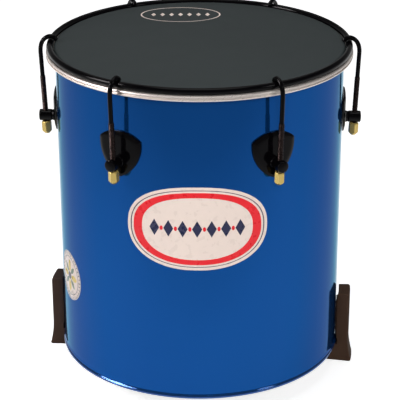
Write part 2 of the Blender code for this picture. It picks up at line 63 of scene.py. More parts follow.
# Clearance between neighbours, as in the solids
GAP = 0.3 * MM

# Shell
SHELL_RADIUS = 137.5 * MM
SHELL_WALL = 1.5 * MM
SHELL_INNER = SHELL_RADIUS - SHELL_WALL
BEAD_RADIUS = 1.9 * MM
BEAD_STAND_OUT = 1.6 * MM
BEAD_BLEND = 1.0 * MM
EDGE_ROUND = 1.5 * MM
BARE_DEPTH = 0.5 * MM
SEAM = 0.02 * MM
RIM_Z = float(SHELL_LOW[2])
EDGE_Z = float(SHELL_HIGH[2])

# Head and hoops, with the welded joint's bearing and where its edge fades, in degrees
HEAD_Z = float(HEAD_HIGH[2])
HEAD_THICKNESS = 0.8 * MM
COLLAR_OUTER = SHELL_RADIUS + GAP + HEAD_THICKNESS
FLESH_ROUND = 1.6 * MM
FLESH_INNER_ROUND = 0.3 * MM
HOOP_ROD = float(HOOP_HIGH[2] - HOOP_LOW[2]) / 2
HOOP_Z = float(HOOP_HIGH[2] + HOOP_LOW[2]) / 2
HOOP_RADIUS = float(HOOP_HIGH[0]) - HOOP_ROD
JOINT_BEARING = -29.3
JOINT_FROM_TO = (0.75, 1.0)

# Lugs
LUGS = range(1, 7)
FIRST_LUG_BEARING = 28.65
LUG_SPACING = 360 / len(LUGS)
POST_Z = HEAD_Z - 73.9 * MM
PLATE_WIDTH = 43.4 * MM
PLATE_TOP = 28.8 * MM
PLATE_WIDEST = 17.0 * MM
PLATE_TOP_RADIUS = 32.0 * MM
PLATE_SIDE_RADIUS = 35.0 * MM
PLATE_SHOULDER_ROUND = 3.0 * MM
PLATE_TIP_ROUND = 4.0 * MM
PLATE_THICKNESS = 2.7 * MM
PLATE_BEVEL_WIDTH = 4.0 * MM
PLATE_BEVEL_DEPTH = 1.0 * MM
PLATE_EDGE_BREAK = 0.5 * MM
PLATE_BACK_BREAK = 0.15 * MM
PLATE_BEVEL_SWELL = 0.10
PLATE_BACK = SHELL_RADIUS + GAP
POST_BACK = PLATE_BACK + PLATE_THICKNESS + GAP
POST_RADIUS = 5.6 * MM
POST_LENGTH = 15.2 * MM
POST_END_ROUND = 1.0 * MM
POST_DOME = 0.6 * MM
POST_GROOVE = 0.5 * MM
POST_GROOVE_FROM_TO = (0.6 * MM, 3.4 * MM)
POST_TAP = 3.6 * MM

# Hook rods
ROD_WIRE = 2.15 * MM
ROD_THREAD = 2.7 * MM
THREAD_ABOVE_POST = 40.4 * MM
THREAD_RUN_OUT = 0.5 * MM
ROD_POST_RADIUS = SHELL_RADIUS + 11.8 * MM
ROD_TOP_RADIUS = SHELL_RADIUS + 14.4 * MM
ROD_TOP_Z = HEAD_Z - 10.5 * MM
LEAN = math.atan2(ROD_TOP_RADIUS - ROD_POST_RADIUS, ROD_TOP_Z - POST_Z)
HOOK_REACH = HOOP_ROD + ROD_WIRE + 0.4 * MM
HOOK_BEND_START = 9.0 * MM
HOOK_BEND_END = 5.4 * MM
HOOK_BEND_ANGLE = 72.0
HOOK_TIP_ANGLE = 150.0
HOOK_TIP_ROUND = 0.7
ROD_END_TAPER = 0.3 * MM
RUBBED_FADE = 1.5 * MM
ROWS_PER_TURN = 8

# Nuts
NUT_FLAT = 4.3 * MM
NUT_CORNER = 2 * NUT_FLAT / math.sqrt(3)
NUT_LENGTH = 12.4 * MM
NUT_FLOOR = 1.2 * MM
NUT_TOP_CHAMFER = 1.4 * MM
NUT_LOW_CHAMFER = 2.2 * MM
NUT_LOW_SLOPE = 0.85
NUT_END_SHARE = 0.92
NUT_END_RISE = 0.15 * MM
NUT_CORNER_POWER = 60.0
NUT_CONE_POWER = 90.0
NUT_TOP = -(POST_RADIUS + GAP) / math.cos(LEAN)
NUT_TURNS = (-6.0, 12.0, 3.0, -20.0, -8.0, 33.0)

# Screws and washers
SCREW_RADIUS = 2.5 * MM
SCREW_HEAD_RADIUS = 4.5 * MM
SCREW_HEAD_HEIGHT = 2.8 * MM
SCREW_HEAD_FALL = 0.45
SCREW_RECESS = 1.2 * MM
CROSS_HALF_WIDTH = 0.5 * MM
CROSS_SIDE_FADE = 0.12 * MM
CROSS_REACH = 2.2 * MM
CROSS_END_FADE = 0.4 * MM
WASHER_RADIUS = 6.5 * MM
WASHER_THICKNESS = 1.2 * MM
WASHER_ROUND = 0.3 * MM
WASHER_HOLE_ROUND = 0.15 * MM
WASHER_SEAT = math.sqrt(SHELL_INNER ** 2 - WASHER_RADIUS ** 2) - GAP - WASHER_THICKNESS
SCREW_SEAT = WASHER_SEAT - GAP

# Feet
FOOT_BEARINGS = {"right": 83.0, "left": -98.0}
FOOT_WIDTH = 23.5 * MM
FOOT_STAND_OFF = 2.4 * MM
FOOT_OUTER = 13.8 * MM
FOOT_RISE = 56.5 * MM
FOOT_FLARE = 3.6 * MM
FOOT_FLARE_HEIGHT = 25.0 * MM
FOOT_NOTCH_DEPTH = 1.1 * MM
FOOT_NOTCH_HEIGHT = 6.0 * MM
FOOT_LIP_THICKNESS = 7.0 * MM
FOOT_LIP_RISE = 6.0 * MM
FOOT_PAD_WIDTH = 15.0 * MM
FOOT_PAD_LOW = 8.0 * MM
FOOT_PAD_HIGH = 47.0 * MM
FOOT_PAD_SIDE_FADE = 0.6 * MM
FOOT_PAD_END_FADE = 0.8 * MM
FOOT_END_ROUND = 1.2 * MM
FOOT_TOE_ROUND = 1.2 * MM
FOOT_TOP_ROUND = 2.4 * MM
FOOT_INNER_ROUND = 0.8 * MM
FOOT_SCREW_HEIGHTS = (17.0 * MM, 38.0 * MM)
FOOT_SCREW_GRIP = 9.0 * MM

# Labels: a place on the shell is a bearing and a height, one on the head is (x, y)
LABEL_PLACE = (-1.1, RIM_Z + 175.5 * MM)
LABEL_POWER = 2.3
ROSETTE_PLACE = (-67.0, RIM_Z + 90.0 * MM)
HEAD_PRINT_PLACE = (-19.0 * MM, 92.5 * MM)
HEAD_PRINT_HALVES = (40.0 * MM, 25.0 * MM)
HEAD_DIAMOND_HALVES = (2.4 * MM, 5.5 * MM)
HEAD_DIAMOND_STEP = 9.0 * MM

# Floor and surroundings, with the levels of Y and of height that their changes lie between
FLOOR_HALF = 6.0
FLOOR_GREY = 0.88
FLOOR_LIFT = 0.8
FRONT_LIFT = 0.4
LIFT_FROM_TO = (-0.8, -0.3)
HORIZON = 0.3
CEILING = 0.1
SKY_FROM_TO = (0.05, 0.45)

# Lamps: place, target, size, radiance straight ahead, spread in degrees
DRUM_MIDDLE = (0.0, 0.0, 0.2)
DRUM_FOOT = (0.0, 0.0, 0.08)
LAMPS = {
    "key": ((-1.20, -0.35, 0.85), DRUM_MIDDLE, (0.6, 0.3), 20.0, 60.0),
    "window": ((-1.20, -0.35, 0.85), DRUM_MIDDLE, (0.6, 0.5), 75.0, 60.0),
    "fill": ((1.20, -0.80, 1.00), DRUM_MIDDLE, (0.35, 0.2), 12.0, 60.0),
    "top": ((0.0, -0.05, 1.50), DRUM_MIDDLE, (0.8, 0.8), 3.0, 80.0),
    "back": ((0.0, 1.10, 1.60), (0.0, 1.10, 0.0), (1.6, 1.0), 1.5, 120.0),
    "front": ((0.25, -1.35, 1.00), DRUM_FOOT, (0.6, 0.6), 26.0, 50.0),
}
WINDOW_COLOUR = (1.0, 0.93, 0.95)

# Camera: its focal length and the picture's width in pixels, and its angles in radians
FOCAL_PIXELS = 1608.47
PICTURE_PIXELS = 400.0
SENSOR_WIDTH = 36.0
CAMERA_PLACE = (0.0, -1.46594, 0.76861 + RIM_Z)
CAMERA_DOWN = 0.40157
CAMERA_ROLL = -0.0026


class DrumSizes(bpy.types.PropertyGroup):
    """Sizes of the labels and of the fine detail."""

    round_steps: bpy.props.IntProperty(
        name="Round steps", description="Faces round the shell and the hoops", default=256, min=48)
    wire_sides: bpy.props.IntProperty(
        name="Wire sides", description="Faces round a hook rod", default=24, min=8)
    thread_pitch: bpy.props.FloatProperty(
        name="Thread pitch", description="Distance between two turns of a rod's thread",
        default=1.0 * MM, unit="LENGTH")
    thread_depth: bpy.props.FloatProperty(
        name="Thread depth", description="From the root to the crest of a rod's thread",
        default=0.36 * MM, unit="LENGTH")
    label_width: bpy.props.FloatProperty(
        name="Label width", description="Half the width of the oval label along the shell",
        default=66.0 * MM, unit="LENGTH")
    label_height: bpy.props.FloatProperty(
        name="Label height", description="Half the height of the oval label",
        default=41.0 * MM, unit="LENGTH")
    rosette_radius: bpy.props.FloatProperty(
        name="Rosette radius", description="Radius of the round label", default=25.0 * MM, unit="LENGTH")
    label_film: bpy.props.FloatProperty(
        name="Label film", description="Thickness of one printed layer", default=0.08 * MM, unit="LENGTH")


class DrumColours(bpy.types.PropertyGroup):
    """Colours of the finishes, in linear light."""

    lacquer: bpy.props.FloatVectorProperty(
        name="Lacquer", description="Colour of the shell seen straight on", subtype="COLOR", size=3,
        default=(0.0035, 0.062, 0.25))
    sheen: bpy.props.FloatVectorProperty(
        name="Sheen", description="Tint of the shell's gloss seen from the side", subtype="COLOR", size=3,
        default=(0.15, 0.52, 0.65))
    skin: bpy.props.FloatVectorProperty(
        name="Skin", description="Head skin", subtype="COLOR", size=3, default=(0.030, 0.037, 0.038))
    black: bpy.props.FloatVectorProperty(
        name="Black", description="Hoop, hooks and lugs", subtype="COLOR", size=3,
        default=(0.0012, 0.0010, 0.0014))
    rubbed: bpy.props.FloatVectorProperty(
        name="Rubbed", description="Rubbed threads", subtype="COLOR", size=3, default=(0.034, 0.023, 0.021))
    aluminium: bpy.props.FloatVectorProperty(
        name="Aluminium", description="Flesh hoop", subtype="COLOR", size=3, default=(0.79, 0.72, 0.67))
    brass: bpy.props.FloatVectorProperty(
        name="Brass", description="Nuts", subtype="COLOR", size=3, default=(0.56, 0.41, 0.125))
    zinc: bpy.props.FloatVectorProperty(
        name="Zinc", description="Screws and washers", subtype="COLOR", size=3, default=(0.60, 0.60, 0.61))
    rubber: bpy.props.FloatVectorProperty(
        name="Rubber", description="Feet", subtype="COLOR", size=3, default=(0.045, 0.025, 0.016))
    cream: bpy.props.FloatVectorProperty(
        name="Cream", description="Ground of the labels", subtype="COLOR", size=3, default=(0.78, 0.65, 0.58))
    red: bpy.props.FloatVectorProperty(
        name="Red", description="Red print", subtype="COLOR", size=3, default=(0.74, 0.009, 0.018))
    navy: bpy.props.FloatVectorProperty(
        name="Navy", description="Navy print", subtype="COLOR", size=3, default=(0.006, 0.008, 0.045))
    yellow: bpy.props.FloatVectorProperty(
        name="Yellow", description="Yellow print", subtype="COLOR", size=3, default=(0.70, 0.50, 0.06))
    green: bpy.props.FloatVectorProperty(
        name="Green", description="Green print", subtype="COLOR", size=3, default=(0.06, 0.13, 0.05))


# Meshes

def solid(name, parts, angle):
    """Mesh of closed grids: each part is (points[u, v], closed along u, closed along v, end caps).

    Edges are sharp where their faces meet at more than the angle, in degrees.
    """
    verts, faces, start = [], [], 0
    for points, wrap_u, wrap_v, caps in parts:
        rows, columns = points.shape[:2]
        index = start + np.arange(rows * columns).reshape(rows, columns)
        if caps:
            faces += [index[0].tolist(), index[-1].tolist()]
        if wrap_u:
            index = np.vstack([index, index[:1]])
        if wrap_v:
            index = np.hstack([index, index[:, :1]])
        corners = (index[:-1, :-1], index[1:, :-1], index[1:, 1:], index[:-1, 1:])
        faces += np.stack(corners, -1).reshape(-1, 4).tolist()
        verts.append(points.reshape(-1, 3))
        start += rows * columns
    mesh = bpy.data.meshes.new(name)
    mesh.from_pydata(np.vstack(verts).tolist(), [], faces)
    bm = bmesh.new()
    bm.from_mesh(mesh)
    bmesh.ops.remove_doubles(bm, verts=bm.verts, dist=0.001 * MM)
    bmesh.ops.recalc_face_normals(bm, faces=bm.faces)
    bm.to_mesh(mesh)
    bm.free()
    mesh.shade_smooth()
    mesh.set_sharp_from_angle(angle=math.radians(angle))
    return mesh


def arc(centre, radius, first, last, count=8):
    """Points centre + radius (cos a, sin a), for angles from first to last in degrees."""
    angle = np.radians(np.linspace(first, last, count + 1))
    return np.stack([centre[0] + radius * np.cos(angle), centre[1] + radius * np.sin(angle)], -1)


def rounded(corners, count=5):
    """Closed outline of (x, y, radius) corners, each an arc that touches both of its sides.

    The arc's centre lies on the corner's bisector, radius / sin(half angle) from the corner.
    """
    corners = np.asarray(corners, dtype=float)
    place, radius = corners[:, :2], corners[:, 2]
    back = np.roll(place, 1, axis=0) - place
    ahead = np.roll(place, -1, axis=0) - place
    back /= np.linalg.norm(back, axis=1)[:, None]
    ahead /= np.linalg.norm(ahead, axis=1)[:, None]
    half = np.arccos(np.clip((back * ahead).sum(1), -1, 1)) / 2
    middle = back + ahead
    middle /= np.linalg.norm(middle, axis=1)[:, None]
    centre = place + middle * (radius / np.sin(half))[:, None]
    side = np.sign(back[:, 0] * ahead[:, 1] - back[:, 1] * ahead[:, 0])
    sweep = np.linspace(-1, 1, count + 1)[None] * (np.pi / 2 - half)[:, None] * side[:, None]
    away = np.arctan2(-middle[:, 1], -middle[:, 0])[:, None] + sweep
    points = centre[:, None] + radius[:, None, None] * np.stack([np.cos(away), np.sin(away)], -1)
    return points.reshape(-1, 2)


def turned(profile, steps):
    """Profile (radius, height) carried round Z: x = r cos a, y = r sin a, z = height."""
    profile = np.asarray(profile)
    angle = np.linspace(0, 2 * np.pi, steps, endpoint=False)[:, None]
    radius, height = profile[:, 0][None], profile[:, 1][None]
    return np.stack([radius * np.cos(angle), radius * np.sin(angle), height + 0 * angle], -1)


def lug_bearing(number):
    """Bearing of a lug, in degrees from the front towards +X."""
    return FIRST_LUG_BEARING + LUG_SPACING * (number - 1)


def facing(points, bearing):
    """Points (out, across, up) turned to a bearing, counted from the front towards +X."""
    angle = math.radians(bearing - 90)
    out, across, up = points[..., 0], points[..., 1], points[..., 2]
    x = out * math.cos(angle) - across * math.sin(angle)
    y = out * math.sin(angle) + across * math.cos(angle)
    return np.stack([x, y, up], -1)


def outward(profile, steps, start, height):
    """Profile (distance, radius) turned round an axis that points out of the drum at a height."""
    profile = np.asarray(profile)
    angle = np.linspace(0, 2 * np.pi, steps, endpoint=False)[:, None]
    along, radius = profile[:, 0][None], profile[:, 1][None]
    return np.stack([start + along + 0 * angle, radius * np.cos(angle), height + radius * np.sin(angle)], -1)


def add(name, parts, finish, body, nodes=(), angle=38.0):
    """Build a piece from its grids and put it on its body, in place of the CAD nodes named."""
    mesh = solid(name, parts, angle)
    mesh.materials.append(finish)
    obj = bpy.data.objects.new(name, mesh)
    bpy.context.scene.collection.objects.link(obj)
    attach(obj, body)
    if nodes:
        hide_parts(*nodes)
    return obj


# Finishes, with the band that most of a noise's values lie in

MAP_SOCKETS = ("From Min", "From Max", "To Min", "To Max")
NOISE_BAND = (0.3, 0.7)
NEARLY_MATT = 0.12


class Finish:
    """A material in the making, with short ways to add its nodes."""

    def __init__(self, name, roughness=0.5, metallic=0.0):
        self.material = bpy.data.materials.new(name)
        self.material.use_nodes = True
        self.nodes = self.material.node_tree.nodes
        self.links = self.material.node_tree.links
        self.shader = self.nodes["Principled BSDF"]
        self.place = self.nodes.new("ShaderNodeTexCoord").outputs["Object"]
        self.fixed(Roughness=roughness, Metallic=metallic)

    def fixed(self, **values):
        """Set sockets of the shader, with underscores for the spaces in their names."""
        for name, value in values.items():
            self.shader.inputs[name.replace("_", " ")].default_value = value

    def feed(self, socket, value):
        if isinstance(value, bpy.types.NodeSocket):
            self.links.new(value, socket)
        else:
            socket.default_value = value

    def maths(self, operation, first, second=0.0):
        node = self.nodes.new("ShaderNodeMath")
        node.operation = operation
        self.feed(node.inputs[0], first)
        self.feed(node.inputs[1], second)
        return node.outputs[0]

    def split(self):
        node = self.nodes.new("ShaderNodeSeparateXYZ")
        self.links.new(self.place, node.inputs[0])
        return node.outputs

    def bearing(self):
        """Angle round the drum's axis from the front, in radians towards +X."""
        x, y = self.split()[:2]
        return self.maths("ARCTAN2", x, self.maths("MULTIPLY", y, -1.0))

    def unrolled(self, radius):
        """Position as (arc length, height, 0), so a grain can follow the round wall."""
        node = self.nodes.new("ShaderNodeCombineXYZ")
        self.links.new(self.maths("MULTIPLY", self.bearing(), radius), node.inputs["X"])
        self.links.new(self.split()[2], node.inputs["Y"])
        return node.outputs[0]

    def noise(self, scale, detail=4.0, stretch=(1, 1, 1), turn=0.0, place=None):
        """Noise of so many waves a metre, drawn out along an axis whose stretch is under one."""
        mapping = self.nodes.new("ShaderNodeMapping")
        mapping.vector_type = "TEXTURE"
        mapping.inputs["Rotation"].default_value = (0, 0, turn)
        mapping.inputs["Scale"].default_value = tuple(1 / s for s in stretch)
        self.links.new(place or self.place, mapping.inputs["Vector"])
        texture = self.nodes.new("ShaderNodeTexNoise")
        texture.inputs["Scale"].default_value = scale
        texture.inputs["Detail"].default_value = detail
        self.links.new(mapping.outputs["Vector"], texture.inputs["Vector"])
        return texture.outputs["Fac"]

    def pebbles(self, scale):
        texture = self.nodes.new("ShaderNodeTexVoronoi")
        texture.inputs["Scale"].default_value = scale
        self.links.new(self.place, texture.inputs["Vector"])
        return texture.outputs["Distance"]

    def spread(self, value, first, last, low, high):
        """Map a value between two levels onto another range, and stop at its ends."""
        node = self.nodes.new("ShaderNodeMapRange")
        for name, level in zip(MAP_SOCKETS, (first, last, low, high)):
            node.inputs[name].default_value = level
        self.links.new(value, node.inputs["Value"])
        return node.outputs["Result"]

    def mix(self, factor, low, high):
        """Colour between two colours."""
        node = self.nodes.new("ShaderNodeMix")
        node.data_type = "RGBA"
        self.feed(node.inputs[0], factor)
        for socket, colour in zip((node.inputs[6], node.inputs[7]), (low, high)):
            self.feed(socket, colour if isinstance(colour, bpy.types.NodeSocket) else (*colour, 1))
        return node.outputs[2]

    def colour(self, value):
        self.feed(self.shader.inputs["Base Color"], value)

    def mottle(self, noise, colour, dark, pale):
        """Let a noise carry the base colour between two shares of one colour."""
        self.colour(self.mix(noise, tint(colour, dark), tint(colour, pale)))

    def roughness(self, value):
        self.feed(self.shader.inputs["Roughness"], value)

    def bump(self, value, distance, strength=1.0):
        node = self.nodes.new("ShaderNodeBump")
        node.inputs["Distance"].default_value = distance
        node.inputs["Strength"].default_value = strength
        self.links.new(value, node.inputs["Height"])
        self.links.new(node.outputs["Normal"], self.shader.inputs["Normal"])


def tint(colour, share):
    """A share of a colour, up to white."""
    return tuple(min(1.0, c * share) for c in colour)


def made(name, maker, *values):
    """A finish that several pieces share, made once."""
    return bpy.data.materials.get(name) or maker(name, *values)


def worn_finish(name, colour, roughness, metallic, grain):
    """A worn metal, mottled broadly in its colour, with a fine grain in its gloss and relief."""
    finish = Finish(name, roughness, metallic)
    finish.mottle(finish.noise(grain * 0.12), colour, 0.88, 1.12)
    fine = finish.noise(grain)
    finish.roughness(finish.spread(fine, *NOISE_BAND, roughness * 0.8, roughness * 1.2))
    finish.bump(fine, 0.008 * MM)
    return finish.material


def lacquer_finish(name, lacquer, sheen):
    """Blue lacquer over bright metal: faint clouding, rubbed patches, orange peel, thicker on the bead."""
    finish = Finish(name, metallic=0.75)
    finish.mottle(finish.noise(7.0, detail=2.0, stretch=(1, 1, 0.4)), lacquer, 0.93, 1.07)
    rubbed = finish.noise(90.0, detail=6.0, stretch=(1, 1, 0.25))
    finish.roughness(finish.spread(rubbed, 0.35, 0.75, 0.07, 0.13))
    finish.fixed(Specular_Tint=(*sheen, 1), Specular_IOR_Level=0.1, Coat_Roughness=0.05)
    bead_top = RIM_Z + 2 * BEAD_RADIUS
    coat = finish.spread(finish.split()[2], bead_top, bead_top + BEAD_RADIUS / 2, 1.0, 0.08)
    finish.feed(finish.shader.inputs["Coat Weight"], coat)
    finish.bump(finish.noise(240.0, detail=2.0), 0.004 * MM, strength=0.6)
    return finish.material


def lining_finish(name):
    """Bare aluminium, brushed round the wall."""
    finish = Finish(name, metallic=1.0)
    brushed = finish.noise(1400.0, detail=3.0, stretch=(0.03, 1, 1), place=finish.unrolled(SHELL_INNER))
    finish.colour(finish.mix(brushed, (0.50, 0.50, 0.50), (0.72, 0.72, 0.71)))
    finish.roughness(finish.spread(brushed, *NOISE_BAND, 0.36, 0.46))
    finish.bump(brushed, 0.01 * MM, strength=0.5)
    return finish.material


def skin_finish(name, colour):
    """Charcoal synthetic skin with a fine pebbled grain and soft clouding."""
    finish = Finish(name)
    cloud = finish.noise(14.0, detail=5.0)
    finish.mottle(cloud, colour, 0.9, 1.12)
    finish.roughness(finish.spread(cloud, *NOISE_BAND, 0.55, 0.66))
    finish.fixed(Specular_IOR_Level=NEARLY_MATT)
    finish.bump(finish.pebbles(1300.0), 0.05 * MM, strength=0.7)
    return finish.material


def hoop_finish(name, colour):
    """Satin aluminium with fine slanting polish lines and a dark welded joint."""
    finish = Finish(name, metallic=0.7)
    wall = finish.unrolled(float(FLESH_HIGH[0]))
    lines = finish.noise(2200.0, detail=3.0, stretch=(0.06, 1, 1), turn=math.radians(35), place=wall)
    cloud = finish.noise(30.0, detail=3.0, stretch=(0.3, 1, 1), place=wall)
    grey = finish.mix(cloud, tint(colour, 0.88), tint(colour, 1.08))
    lined = finish.mix(lines, tint(colour, 0.85), grey)
    away = finish.maths("ABSOLUTE", finish.maths("ADD", finish.bearing(), -math.radians(JOINT_BEARING)))
    joint = finish.spread(away, *np.radians(JOINT_FROM_TO), 0.75, 0.0)
    finish.colour(finish.mix(joint, lined, tint(colour, 0.25)))
    finish.roughness(finish.spread(lines, *NOISE_BAND, 0.26, 0.38))
    finish.bump(lines, 0.01 * MM, strength=0.5)
    return finish.material


def plated(name):
    """Start of a gloss black plating, with its low gloss and slight waviness."""
    finish = Finish(name)
    finish.fixed(Specular_IOR_Level=0.09)
    finish.bump(finish.noise(500.0, detail=2.0), 0.004 * MM, strength=0.6)
    return finish


def gloss_black(name, colour):
    """Gloss black plating with faint dust and wear."""
    finish = plated(name)
    dust = finish.noise(120.0, detail=6.0)
    finish.colour(finish.mix(finish.spread(dust, 0.55, 0.8, 0.0, 0.5), colour, tint(colour, 3.0)))
    finish.roughness(finish.spread(dust, 0.3, 0.75, 0.06, 0.16))
    return finish.material


def rod_finish(name, colour, worn):
    """Gloss black plating, rubbed to brownish steel along the thread."""
    finish = plated(name)
    top = POST_Z + THREAD_ABOVE_POST * math.cos(LEAN)
    threaded = finish.spread(finish.split()[2], top - RUBBED_FADE, top, 1.0, 0.0)
    patches = finish.spread(finish.noise(220.0, detail=5.0), 0.35, 0.6, 0.45, 1.0)
    rubbed = finish.maths("MULTIPLY", threaded, patches)
    finish.colour(finish.mix(rubbed, colour, worn))
    finish.feed(finish.shader.inputs["Metallic"], rubbed)
    finish.roughness(finish.spread(rubbed, 0.0, 1.0, 0.1, 0.3))
    return finish.material


def rubber_finish(name, colour):
    """Moulded rubber with a fine pitted grain and paler, rubbed patches."""
    finish = Finish(name)
    finish.mottle(finish.noise(60.0, detail=6.0), colour, 0.72, 1.3)
    grain = finish.noise(900.0, detail=5.0)
    finish.roughness(finish.spread(grain, *NOISE_BAND, 0.68, 0.85))
    finish.fixed(Specular_IOR_Level=NEARLY_MATT)
    finish.bump(grain, 0.12 * MM, strength=0.8)
    return finish.material


def print_finish(name, colour):
    """Printed film with a slight unevenness in its ink and gloss."""
    finish = Finish(name)
    cloud = finish.noise(160.0, detail=5.0)
    finish.mottle(cloud, colour, 0.95, 1.03)
    finish.roughness(finish.spread(cloud, *NOISE_BAND, 0.24, 0.36))
    finish.bump(cloud, 0.004 * MM, strength=0.5)
    return finish.material


def black(context):
    return made("gloss_black", gloss_black, tuple(context.scene.drum_colours.black))


def zinc(context):
    return made("zinc_plate", worn_finish, tuple(context.scene.drum_colours.zinc), 0.3, 1.0, 600.0)


class DRUM_OT_shell(bpy.types.Operator):
    """Shell as two turned surfaces: the lacquered outside with its bead, and the bare inside"""

    bl_idname = "drum.shell"
    bl_label = "Shell"

    def execute(self, context):
        steps = context.scene.drum_sizes.round_steps
        colours = context.scene.drum_colours
        bead = (SHELL_RADIUS + BEAD_STAND_OUT - BEAD_RADIUS, RIM_Z + BEAD_RADIUS)
        edge = (SHELL_RADIUS - EDGE_ROUND, EDGE_Z - EDGE_ROUND)
        walls = np.linspace(RIM_Z + 4 * BEAD_RADIUS, EDGE_Z - 4 * BEAD_RADIUS, 9)
        middle = SHELL_INNER + BARE_DEPTH
        parting = math.degrees(math.acos(BARE_DEPTH / EDGE_ROUND))
        profile = np.vstack([
            [[middle, RIM_Z]],
            arc(bead, BEAD_RADIUS, -90, 60, 12),
            [[SHELL_RADIUS, bead[1] + BEAD_RADIUS + BEAD_BLEND]],
            np.stack([0 * walls + SHELL_RADIUS, walls], -1),
            arc(edge, EDGE_ROUND, 0, parting),
            np.stack([0 * walls + middle, walls[::-1]], -1),
        ])
        parts = [(turned(profile, steps), True, True, False)]
        finish = lacquer_finish("blue_lacquer", tuple(colours.lacquer), tuple(colours.sheen))
        add("shell_skin", parts, finish, "drum", ["shell"])

        profile = np.vstack([
            [[SHELL_INNER, RIM_Z], [middle - SEAM, RIM_Z]],
            np.stack([0 * walls + middle - SEAM, walls], -1),
            arc(edge, EDGE_ROUND, parting + 1, 90, 3),
            np.stack([0 * walls + SHELL_INNER, walls[::-1]], -1),
        ])
        parts = [(turned(profile, steps), True, True, False)]
        add("shell_lining", parts, lining_finish("bare_aluminium"), "drum", ["shell"])
        return {"FINISHED"}


class DRUM_OT_head(bpy.types.Operator):
    """Head, flesh hoop and counter hoop as turned surfaces"""

    bl_idname = "drum.head"
    bl_label = "Head and hoops"

    def execute(self, context):
        steps = context.scene.drum_sizes.round_steps
        colours = context.scene.drum_colours
        centre = (SHELL_RADIUS - EDGE_ROUND, EDGE_Z - EDGE_ROUND)
        inside = EDGE_ROUND + GAP
        low = float(HEAD_LOW[2])
        flat = np.linspace(0, centre[0], 14)[:-1]
        profile = np.vstack([
            np.stack([flat, 0 * flat + HEAD_Z - HEAD_THICKNESS], -1),
            arc(centre, inside, 90, 0),
            [[COLLAR_OUTER - HEAD_THICKNESS, low], [COLLAR_OUTER, low]],
            arc(centre, inside + HEAD_THICKNESS, 0, 90, 10),
            np.stack([flat[::-1], 0 * flat + HEAD_Z], -1),
        ])
        parts = [(turned(profile, steps), True, False, False)]
        finish = skin_finish("charcoal_skin", tuple(colours.skin))
        add("head_skin", parts, finish, "drum", ["head_membrane"])

        outer, inner = float(FLESH_HIGH[0]), COLLAR_OUTER + GAP
        flesh_low, flesh_top = float(FLESH_LOW[2]), float(FLESH_HIGH[2])
        profile = rounded([
            (inner, flesh_low, FLESH_INNER_ROUND),
            (outer, flesh_low, FLESH_ROUND),
            (outer, flesh_top, FLESH_ROUND),
            (inner, flesh_top, FLESH_INNER_ROUND),
        ], 8)
        parts = [(turned(profile, steps), True, True, False)]
        finish = hoop_finish("satin_hoop", tuple(colours.aluminium))
        add("flesh_ring", parts, finish, "drum", ["flesh_hoop"])

        profile = arc((HOOP_RADIUS, HOOP_Z), HOOP_ROD, 0, 345, 23)
        parts = [(turned(profile, steps), True, True, False)]
        add("rod_hoop", parts, black(context), "drum", ["counter_hoop"])
        return {"FINISHED"}


def crossing(first, first_radius, second, second_radius):
    """Where two circles cross, on the right-hand side of the way from the first centre to the second."""
    way = second - first
    span = way.length
    along = (first_radius ** 2 - second_radius ** 2 + span ** 2) / (2 * span)
    aside = math.sqrt(first_radius ** 2 - along ** 2)
    ahead = way / span
    return first + ahead * along + Vector((ahead.y, -ahead.x)) * aside


def heading(start, end):
    """Direction from one point to another, in degrees from +X."""
    return math.degrees(math.atan2(end[1] - start[1], end[0] - start[0]))


def plate_outline(inset):
    """Shield outline of (across, up) points round the post's centre, drawn in by an inset.

    A low arc on top and one long arc on each side meet in a round tip and two round shoulders.
    A corner's centre lies where the arcs cross after they are drawn in by the corner's radius.
    """
    tip_round = max(PLATE_TIP_ROUND - inset, PLATE_EDGE_BREAK)
    shoulder_round = max(PLATE_SHOULDER_ROUND - inset, PLATE_EDGE_BREAK)
    top_radius = PLATE_TOP_RADIUS - inset
    side_radius = PLATE_SIDE_RADIUS - inset
    top = Vector((0, PLATE_TOP - PLATE_TOP_RADIUS))
    right = Vector((PLATE_WIDTH / 2 - PLATE_SIDE_RADIUS, PLATE_WIDEST))
    left = Vector((-right.x, right.y))
    tip = crossing(right, side_radius - tip_round, left, side_radius - tip_round)
    shoulder = crossing(top, top_radius - shoulder_round, right, side_radius - shoulder_round)
    from_tip, to_shoulder = heading(right, tip), heading(right, shoulder)
    over_shoulder = heading(top, shoulder)
    half = np.vstack([
        arc(tip, tip_round, -90, from_tip, 8),
        arc(right, side_radius, from_tip, to_shoulder, 30)[1:],
        arc(shoulder, shoulder_round, to_shoulder, over_shoulder, 8)[1:],
        arc(top, top_radius, over_shoulder, 90, 16)[1:],
    ])
    return np.vstack([half, half[-2:0:-1] * (-1, 1)])


